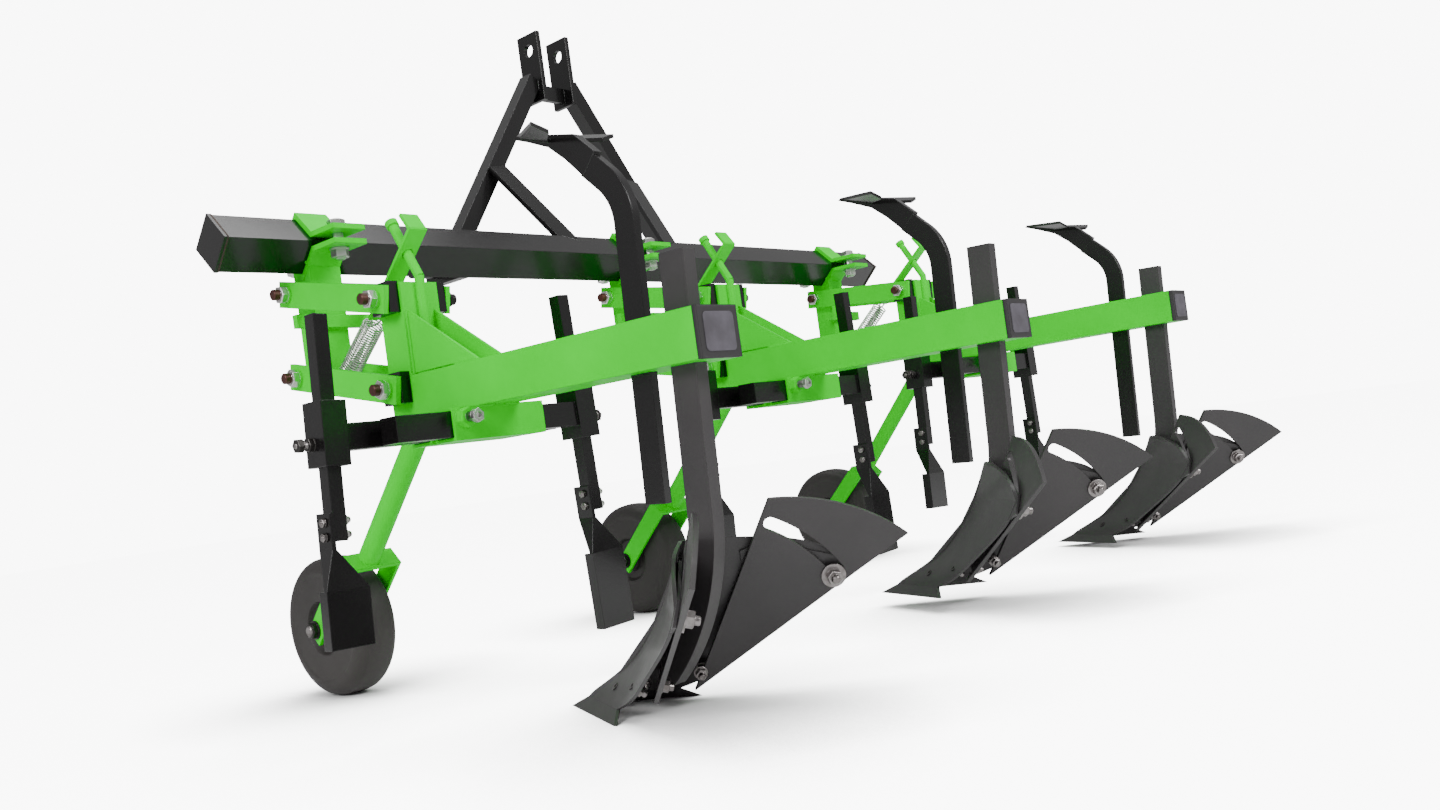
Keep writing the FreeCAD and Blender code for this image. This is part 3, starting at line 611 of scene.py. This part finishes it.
def ridger_fittings(row):
    """Wing bolts and hinge bolts, the breast's ears behind the slots, and the share's bolts."""
    wing_bolts = []
    hinge_bolts = []
    heads = []
    nuts = []
    for side in (-1, 1):
        face = to_side(WING_FACE, side)
        wing_bolts.append((on_wing(row, side, *WING_BOLT, WING_BACK), face))
        hinge_bolts.append((on_wing(row, side, *HINGE_BOLT, WING_BACK), face))
        corners = [on_wing(row, side, x, y, EAR_BACK) for x, y in EAR]
        plate(f"breast_ear_{row.name}_{'right' if side > 0 else 'left'}", corners,
              face * -EAR_THICK, row.row, STEEL)
        front = to_side(BREAST_FACE, side)
        for place in PLOUGH_BOLTS:
            at = row.ridger + to_side(place, side)
            heads.append((at - front * PLOUGH_HEAD_SUNK, front))
            nuts.append((at - front * PLOUGH_NUT_SEAT, -front))
    # The sizes are across, high, washer, washer_thick, tip and thread.
    worn = {"finish": WORN, "washer_finish": WORN, "thread_finish": WORN}
    oiled = {"finish": BOLT, "washer_finish": BOLT, "thread_finish": BOLT}
    for label, places, sizes, finishes in (
            ("wing_bolts", wing_bolts, (17, 9, 30, 2.5, 5, 10), worn),
            ("hinge_bolts", hinge_bolts, (13, 7, 17, 1.6, 4, 8), worn),
            ("share_heads", heads, (6, 0.6, 15, 0.9, -1, 4), oiled),
            ("share_nuts", nuts, (13, 7, 16, 1.5, 4, 8), worn)):
        bolt_ends(f"{label}_{row.name}", row.row, places, *sizes, slot_name="dark_steel",
                  **finishes)


for row in ROWS.values():
    ridger_fittings(row)


# ---------------------------------------------------------------- springs

SPRING_RADIUS = 0.017       # the plain cylinder's
COIL_RADIUS = 0.015         # the wire's own line
COIL_WIRE = 0.0015
COIL_TURNS = 23.0
COIL_END = 0.002            # how far the coil stops short of the spring's ends
WIRE_SIDES = 8
TURN_STEPS = 20
EYE_WIRE = 1.7              # in mm, as is the step along it
EYE_STEP = 1.5
EYE_RADIUS = 0.0085
EYE_POINTS = 20
EYE_ABOVE, HOOK_BELOW = 0.005, 0.003    # the middles of the two eyes, beyond the spring's ends


def coil_tree():
    """A round wire wound on a straight axis."""
    made, inp, out = tree("Coil", (
        ("Turns", "Float", 16.0), ("Coil Radius", "Float", 0.015), ("Length", "Float", 0.12),
        ("Wire Radius", "Float", 0.002), ("Finish", "Material", None)))
    nodes = made.nodes
    link = made.links.new
    spiral = nodes.new("GeometryNodeCurveSpiral")
    spiral.inputs["Resolution"].default_value = TURN_STEPS
    link(inp.outputs["Turns"], spiral.inputs["Rotations"])
    link(inp.outputs["Coil Radius"], spiral.inputs["Start Radius"])
    link(inp.outputs["Coil Radius"], spiral.inputs["End Radius"])
    link(inp.outputs["Length"], spiral.inputs["Height"])
    wire = nodes.new("GeometryNodeCurvePrimitiveCircle")
    wire.inputs["Resolution"].default_value = WIRE_SIDES
    link(inp.outputs["Wire Radius"], wire.inputs["Radius"])
    mesh = nodes.new("GeometryNodeCurveToMesh")
    mesh.inputs["Fill Caps"].default_value = True
    link(spiral.outputs["Curve"], mesh.inputs["Curve"])
    link(wire.outputs["Curve"], mesh.inputs["Profile Curve"])
    real = nodes.new("GeometryNodeRealizeInstances")
    link(mesh.outputs["Mesh"], real.inputs["Geometry"])
    finish = nodes.new("GeometryNodeSetMaterial")
    link(real.outputs["Geometry"], finish.inputs["Geometry"])
    link(inp.outputs["Finish"], finish.inputs["Material"])
    link(finish.outputs["Geometry"], out.inputs["Geometry"])
    return made


COIL = coil_tree()


def spring_ends(row):
    """The axis of the spring, from the strap down to the lower links' cross bar."""
    low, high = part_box(f"spring_{row.name}")
    slope = math.atan2(high.z - low.z, high.y - low.y)
    trim_y = SPRING_RADIUS * math.sin(slope)
    trim_z = SPRING_RADIUS * math.cos(slope)
    top = Vector((row.floor.x, low.y + trim_y, high.z - trim_z))
    foot = Vector((row.floor.x, high.y - trim_y, low.z + trim_z))
    return top, foot


def coil(row):
    """The wound spring. It rides on the lower links, whose cross rod holds its foot."""
    top, foot = spring_ends(row)
    run = foot - top
    base = bpy.data.meshes.new("spring_seed")
    values = {"Turns": COIL_TURNS, "Coil Radius": COIL_RADIUS, "Length": run.length - 2 * COIL_END,
              "Wire Radius": COIL_WIRE, "Finish": ZINC}
    spring = grown(f"coil_{row.name}", base, COIL, values, f"lower_link_{row.name}")
    spring.data.transform(Matrix.Translation(top + run.normalized() * COIL_END)
                          @ run.to_track_quat("Z", "Y").to_matrix().to_4x4())
    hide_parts(f"spring_{row.name}")


for row in ROWS.values():
    coil(row)


def ring(middle, across, along, radius, count):
    """Points round a circle in the plane of two directions, the last one on the first."""
    turns = [2 * math.pi * index / count for index in range(count + 1)]
    return [middle + across * radius * math.sin(turn) + along * radius * math.cos(turn)
            for turn in turns]


# ---------------------------------------------------------------- welds and bent wire

RUN_SIDES = 8
RUN_SEED = 5


def run_tree():
    """A round section carried along a line, uneven as a weld bead's or even as a wire's."""
    made, inp, out = tree("Run along a line", (
        ("Radius", "Float", 0.002), ("Step", "Float", 0.003), ("Unevenness", "Float", 0.0),
        ("Finish", "Material", None)))
    nodes = made.nodes
    link = made.links.new
    line = nodes.new("GeometryNodeMeshToCurve")
    link(inp.outputs["Geometry"], line.inputs["Mesh"])
    even = nodes.new("GeometryNodeResampleCurve")
    even.mode = "LENGTH"
    link(line.outputs["Curve"], even.inputs["Curve"])
    link(inp.outputs["Step"], even.inputs["Length"])
    low = nodes.new("ShaderNodeMath")
    low.operation = "SUBTRACT"
    low.inputs[0].default_value = 1.0
    link(inp.outputs["Unevenness"], low.inputs[1])
    high = nodes.new("ShaderNodeMath")
    high.operation = "ADD"
    high.inputs[0].default_value = 1.0
    link(inp.outputs["Unevenness"], high.inputs[1])
    chance = nodes.new("FunctionNodeRandomValue")
    chance.data_type = "FLOAT"
    chance.inputs["Seed"].default_value = RUN_SEED
    link(low.outputs[0], chance.inputs[2])
    link(high.outputs[0], chance.inputs[3])
    swell = nodes.new("GeometryNodeSetCurveRadius")
    link(even.outputs["Curve"], swell.inputs["Curve"])
    link(chance.outputs[1], swell.inputs["Radius"])
    section = nodes.new("GeometryNodeCurvePrimitiveCircle")
    section.inputs["Resolution"].default_value = RUN_SIDES
    link(inp.outputs["Radius"], section.inputs["Radius"])
    solid = nodes.new("GeometryNodeCurveToMesh")
    solid.inputs["Fill Caps"].default_value = True
    link(swell.outputs["Curve"], solid.inputs["Curve"])
    link(section.outputs["Curve"], solid.inputs["Profile Curve"])
    real = nodes.new("GeometryNodeRealizeInstances")
    link(solid.outputs["Mesh"], real.inputs["Geometry"])
    finish = nodes.new("GeometryNodeSetMaterial")
    link(real.outputs["Geometry"], finish.inputs["Geometry"])
    link(inp.outputs["Finish"], finish.inputs["Material"])
    link(finish.outputs["Geometry"], out.inputs["Geometry"])
    return made


RUN = run_tree()


def runs(name, body, lines, radius, finish, step=3.0, unevenness=0.25):
    """Beads or wires along several lines; radius and step in millimetres, lines in metres."""
    points = []
    edges = []
    for line in lines:
        first = len(points)
        points += [tuple(at) for at in line]
        edges += [(index, index + 1) for index in range(first, len(points) - 1)]
    base = bpy.data.meshes.new(name)
    base.from_pydata(points, edges, [])
    values = {"Radius": radius * MM, "Step": step * MM, "Unevenness": unevenness, "Finish": finish}
    return grown(name, base, RUN, values, body)


# The lines of the beads on the row unit, from its rear upper pivot. A half is a distance to each
# side of the unit's middle; a pair is where a bead starts and ends.
COLUMN_HALF, COLUMN_REAR = 0.0325, -0.0275
COLUMN_FOOT = (-0.116, -0.171)
GUSSET_HALF = 0.0272
GUSSET_RISE = (-0.022, -0.111)
GUSSET_RUN = (-0.120, -0.171)
BEAM_TOP = -0.1125
BEAM_TOP_SPAN = (-0.034, 0.034)
SLEEVE_TOP = -0.1735
SLEEVE_LINES = (-0.105, -0.157)
SLEEVE_HALF = 0.0215        # from each line to the sleeve's front and rear faces
SLEEVE_OUT, SLEEVE_IN = 0.0355, 0.010
# The clamp's post, from the middle of its top.
POST_TOP = 0.048            # over the frame's upper pivot
POST_HALF = 0.028
POST_RUN = (-0.020, 0.020)
POST_REAR = -0.0235
POST_SPAN = (-0.026, 0.026)
END_PLATE = 0.0065          # the inner edge of the toolbar's end plates
TOOLBAR_CORNER = 0.0424     # the toolbar's corners from its middle, as it stands on edge
BEAM_BEAD, POST_BEAD, PLATE_BEAD = 2.2, 2.4, 1.9    # in mm


def row_welds(row):
    """Beads where the beam, gussets and sleeves meet, and round the clamp's post."""
    pivot_place = row.row_upper
    beads = []
    for side in (-1, 1):
        beads.append([pivot_place + Vector((side * COLUMN_HALF, COLUMN_REAR, z))
                      for z in COLUMN_FOOT])
        beads.append([pivot_place + Vector((side * GUSSET_HALF, COLUMN_REAR, z))
                      for z in GUSSET_RISE])
        beads.append([pivot_place + Vector((side * GUSSET_HALF, y, BEAM_TOP))
                      for y in GUSSET_RUN])
        for y in SLEEVE_LINES:
            for edge in (-SLEEVE_HALF, SLEEVE_HALF):
                beads.append([row.on_row(x, y + edge, SLEEVE_TOP)
                              for x in (side * SLEEVE_OUT, side * SLEEVE_IN)])
    beads.append([pivot_place + Vector((x, COLUMN_REAR, BEAM_TOP)) for x in BEAM_TOP_SPAN])
    runs(f"beam_welds_{row.name}", row.row, beads, BEAM_BEAD, GREEN)
    top = row.floor + Vector((0, row.frame_upper.y - row.floor.y, row.frame_upper.z + POST_TOP))
    post = [[top + Vector((side * POST_HALF, y, 0)) for y in POST_RUN] for side in (-1, 1)]
    post.append([top + Vector((x, POST_REAR, 0)) for x in POST_SPAN])
    runs(f"post_welds_{row.name}", "frame", post, POST_BEAD, GREEN)


def frame_welds():
    """Brown beads round the toolbar's end plates."""
    low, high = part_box("toolbar")
    beads = [[Vector((x, TOOLBAR.y + TOOLBAR_CORNER * math.sin(turn),
                      TOOLBAR.z + TOOLBAR_CORNER * math.cos(turn)))
              for turn in (0, math.pi / 2, math.pi, 3 * math.pi / 2, 2 * math.pi)]
             for x in (low.x + END_PLATE, high.x - END_PLATE)]
    runs("toolbar_welds", "frame", beads, PLATE_BEAD, BEAD)


def coil_hooks(row, top, foot):
    """The wire eyes at the spring's two ends, round the strap's hole and the cross rod."""
    run = (foot - top).normalized()
    upper = ring(top - run * EYE_ABOVE, RIGHT, run, EYE_RADIUS, EYE_POINTS)
    runs(f"spring_eye_{row.name}", row.row, [upper], EYE_WIRE, ZINC,
         step=EYE_STEP, unevenness=0.0)
    lower = ring(foot + run * HOOK_BELOW, run.cross(RIGHT), run, EYE_RADIUS, EYE_POINTS)
    runs(f"spring_hook_{row.name}", f"lower_link_{row.name}", [lower], EYE_WIRE, ZINC,
         step=EYE_STEP, unevenness=0.0)


PANEL_HALF = (0.0265, 0.0225)
PANEL_ROUND = 0.006
PANEL_STEPS = 4
PANEL_SUNK = 0.0004
PANEL_THICK = 0.0012


def cap_panel(row):
    """The rubbed, slightly raised middle of the plug in the beam's end, its corners rounded."""
    low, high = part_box(f"beam_cap_{row.name}")
    middle = (low + high) / 2
    wide, tall = (half - PANEL_ROUND for half in PANEL_HALF)
    corners = []
    for quarter, (across, upward) in enumerate(((1, 1), (-1, 1), (-1, -1), (1, -1))):
        for step in range(PANEL_STEPS + 1):
            turn = math.pi / 2 * (quarter + step / PANEL_STEPS)
            corners.append(Vector((middle.x + across * wide + PANEL_ROUND * math.cos(turn),
                                   low.y + PANEL_SUNK,
                                   middle.z + upward * tall + PANEL_ROUND * math.sin(turn))))
    plate(f"cap_panel_{row.name}", corners, REAR * PANEL_THICK, row.row, PANEL)


frame_welds()
for row in ROWS.values():
    row_welds(row)
    coil_hooks(row, *spring_ends(row))
    cap_panel(row)


# ---------------------------------------------------------------- floor, light and camera

FLOOR_REACH = 14
FLOOR_TONE = (0.86, 0.86, 0.86, 1)
FLOOR_ROUGHNESS = 0.9
FLOOR_SPECULAR = 0.1
FLOOR_GLOW = 8.0
# Painted contact shadow on the floor: ambient occlusion, sharpened, scales down the floor's glow under nearby
# pieces.
PAINTED_SHADOW_REACH = 0.3           # how near a piece has to be to darken the floor under it
PAINTED_SHADOW_SAMPLES = 8
PAINTED_SHADOW_SHARPNESS = 5.0
FILL_STRENGTH = 0.5
SEEN_STRENGTH = 9.0
WHITE = (1, 1, 1, 1)
LAMP_DEPTH_SHARE = 0.6      # a lamp's shorter side as a share of its width
# Each lamp: its name, place, aim, width and power in watts.
LAMPS = (
    ("key_light", (0.9, -4.0, 3.2), (0, -0.2, 0.4), 2.6, 220),
    ("left_light", (-4.2, -0.6, 2.4), (0, 0, 0.5), 2.2, 140),
    ("top_light", (0.2, 0.6, 4.2), (0, 0, 0.3), 3.0, 80),
)


def floor():
    """A pale floor that glows for the camera, with painted contact shadow: the glow is cut where ambient occlusion
    finds a piece close over it.
    """
    mesh = bpy.data.meshes.new("studio_floor")
    mesh.from_pydata([(-FLOOR_REACH, -FLOOR_REACH, 0), (FLOOR_REACH, -FLOOR_REACH, 0),
                      (FLOOR_REACH, FLOOR_REACH, 0), (-FLOOR_REACH, FLOOR_REACH, 0)],
                     [], [(0, 1, 2, 3)])
    item = bpy.data.objects.new("studio_floor", mesh)
    bpy.context.scene.collection.objects.link(item)
    material = bpy.data.materials.new("Pale studio floor")
    material.use_nodes = True
    nodes = material.node_tree.nodes
    link = material.node_tree.links.new
    shader = nodes["Principled BSDF"]
    shader.inputs["Base Color"].default_value = FLOOR_TONE
    shader.inputs["Roughness"].default_value = FLOOR_ROUGHNESS
    shader.inputs["Specular IOR Level"].default_value = FLOOR_SPECULAR
    shader.inputs["Emission Color"].default_value = WHITE
    # Painted contact shadow: the occlusion value, raised to a power, dims the camera-only glow near pieces.
    shade = nodes.new("ShaderNodeAmbientOcclusion")
    shade.samples = PAINTED_SHADOW_SAMPLES
    shade.inputs["Distance"].default_value = PAINTED_SHADOW_REACH
    path = nodes.new("ShaderNodeLightPath")
    sharpen = nodes.new("ShaderNodeMath")
    sharpen.operation = "POWER"
    sharpen.inputs[1].default_value = PAINTED_SHADOW_SHARPNESS
    link(shade.outputs["AO"], sharpen.inputs[0])
    glow = nodes.new("ShaderNodeMath")
    glow.operation = "MULTIPLY"
    link(sharpen.outputs[0], glow.inputs[0])
    link(path.outputs["Is Camera Ray"], glow.inputs[1])
    power = nodes.new("ShaderNodeMath")
    power.operation = "MULTIPLY"
    link(glow.outputs[0], power.inputs[0])
    power.inputs[1].default_value = FLOOR_GLOW
    link(power.outputs[0], shader.inputs["Emission Strength"])
    mesh.materials.append(material)


def soft_light(name, place, aim, wide, power):
    """A wide rectangular lamp that points at its aim."""
    lamp = bpy.data.lights.new(name, "AREA")
    lamp.shape = "RECTANGLE"
    lamp.size = wide
    lamp.size_y = wide * LAMP_DEPTH_SHARE
    lamp.energy = power
    item = bpy.data.objects.new(name, lamp)
    item.location = place
    item.rotation_euler = (Vector(aim) - Vector(place)).to_track_quat("-Z", "Y").to_euler()
    bpy.context.scene.collection.objects.link(item)


def lighting():
    """A white surround that only the camera sees at full strength, and three soft lamps."""
    world = bpy.data.worlds.new("Studio")
    world.use_nodes = True
    nodes = world.node_tree.nodes
    link = world.node_tree.links.new
    fill = nodes["Background"]
    fill.inputs["Strength"].default_value = FILL_STRENGTH
    seen = nodes.new("ShaderNodeBackground")
    seen.inputs["Strength"].default_value = SEEN_STRENGTH
    for back in (fill, seen):
        back.inputs["Color"].default_value = WHITE
    path = nodes.new("ShaderNodeLightPath")
    mix = nodes.new("ShaderNodeMixShader")
    link(path.outputs["Is Camera Ray"], mix.inputs["Fac"])
    link(fill.outputs["Background"], mix.inputs[1])
    link(seen.outputs["Background"], mix.inputs[2])
    link(mix.outputs["Shader"], nodes["World Output"].inputs["Surface"])
    bpy.context.scene.world = world
    for lamp in LAMPS:
        soft_light(*lamp)


CAMERA_OFFSET = Vector((-1.7503, -1.6314, 0.3024))      # from the middle unit's place on the floor
YAW, PITCH, ROLL = (math.radians(angle) for angle in (47.48, 0.581, -7.851))
SENSOR_WIDTH, FOCAL_LENGTH = 36, 30.14                  # in mm
SHIFT_ACROSS, SHIFT_UP = 0.0411, 0.0285
FARTHEST = 60


def camera():
    """The viewing place, behind the machine on its left and low down."""
    ahead = Vector((math.sin(YAW) * math.cos(PITCH), math.cos(YAW) * math.cos(PITCH),
                    math.sin(PITCH)))
    level = Vector((math.cos(YAW), -math.sin(YAW), 0))
    above = level.cross(ahead)
    across = level * math.cos(ROLL) + above * math.sin(ROLL)
    upward = above * math.cos(ROLL) - level * math.sin(ROLL)
    lens = bpy.data.cameras.new("view_camera")
    lens.sensor_width = SENSOR_WIDTH
    lens.lens = FOCAL_LENGTH
    lens.shift_x = SHIFT_ACROSS
    lens.shift_y = SHIFT_UP
    lens.clip_end = FARTHEST
    item = bpy.data.objects.new("view_camera", lens)
    turn = Matrix((across, upward, -ahead)).transposed().to_4x4()
    item.matrix_world = Matrix.Translation(ROWS["middle"].floor + CAMERA_OFFSET) @ turn
    bpy.context.scene.collection.objects.link(item)
    bpy.context.scene.camera = item


floor()
lighting()
camera()
